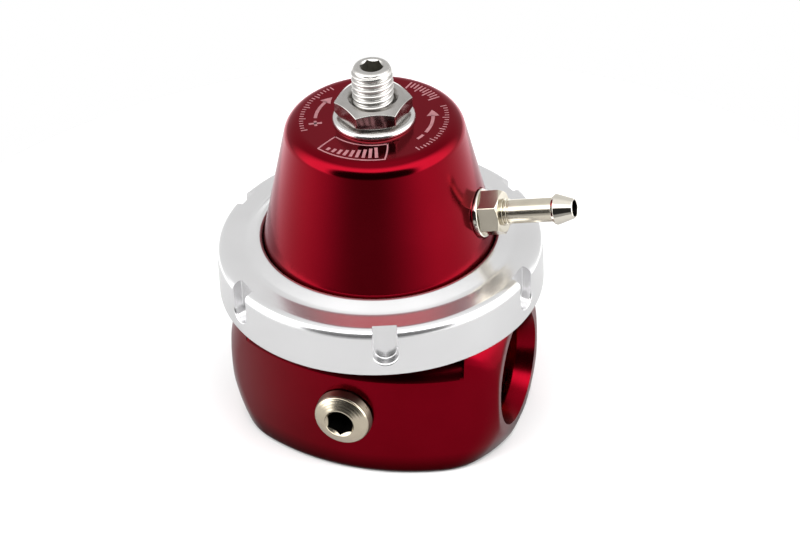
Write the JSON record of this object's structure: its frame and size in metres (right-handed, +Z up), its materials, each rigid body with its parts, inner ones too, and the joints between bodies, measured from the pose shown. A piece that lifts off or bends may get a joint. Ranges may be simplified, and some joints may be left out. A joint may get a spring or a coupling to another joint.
{
  "type": "fuel pressure regulator",
  "caption": "Return-style fuel pressure regulator: ball-shaped base with side ports and bottom return, notched clamp ring, conical bonnet with screw adjuster, hose barb and diaphragm valve.",
  "frame": {"origin": "centre of the return port on the bottom face", "axes": "+Z up the regulator's axis towards the adjusting screw, +X out of the right-hand side port, -Y out of the plugged gauge port"},
  "size_m": [0.0719, 0.0642, 0.0797],
  "materials": {
    "red_anodised": "red anodised, satin gloss",
    "clear_anodised": "clear anodised, polished",
    "stainless": "satin stainless",
    "nickel": "bright nickel plate",
    "seal_rubber": "moulded",
    "diaphragm_rubber": "fabric-reinforced",
    "inner_steel": "turned",
    "spring_steel": "oiled",
    "plain_aluminium": "turned",
    "seat_brass": "turned"
  },
  "bodies": {
    "housing": {"base_body": "red_anodised", "clamp_ring": "clear_anodised", "bonnet": "red_anodised", "nut_washer": "stainless", "screw_o_ring": "seal_rubber", "main_spring": "spring_steel", "diaphragm": "diaphragm_rubber", "valve_seat": "seat_brass", "seat_o_ring": "seal_rubber", "vacuum_barb": "nickel", "barb_washer": "nickel", "gauge_port_plug": "nickel"},
    "spring_seat": {"upper_spring_seat": "inner_steel"},
    "screw": {"adjusting_screw": "stainless"},
    "nut": {"jam_nut": "stainless"},
    "valve": {"diaphragm_plate": "plain_aluminium", "valve_carrier": "plain_aluminium", "stem_washer": "inner_steel", "stem_nut": "inner_steel", "valve_ball": "inner_steel", "ball_retainer": "inner_steel"}
  },
  "joints": [
    {"name": "adjuster_travel", "type": "slide", "parent": "housing", "child": "spring_seat", "axis": [0, 0, 1], "range_m": [-0.0025, 0.004], "deforming": ["main_spring"]},
    {"name": "adjuster_turn", "type": "hinge", "parent": "spring_seat", "child": "screw", "pos_m": [0, 0, 0.07], "axis": [0, 0, 1], "range_deg": [-720, 1152]},
    {"name": "jam_nut_turn", "type": "hinge", "parent": "housing", "child": "nut", "pos_m": [0, 0, 0.071], "axis": [0, 0, 1], "range_deg": [0, 90]},
    {"name": "valve_lift", "type": "slide", "parent": "housing", "child": "valve", "axis": [0, 0, 1], "range_m": [0, 0.001], "stiffness_N_per_m": 3000, "springref_m": -0.004, "deforming": ["diaphragm", "main_spring"]}
  ],
  "couplings": [
    {"joint": "adjuster_turn", "follows": "adjuster_travel", "rad_per_m": 5026.5}
  ]
}
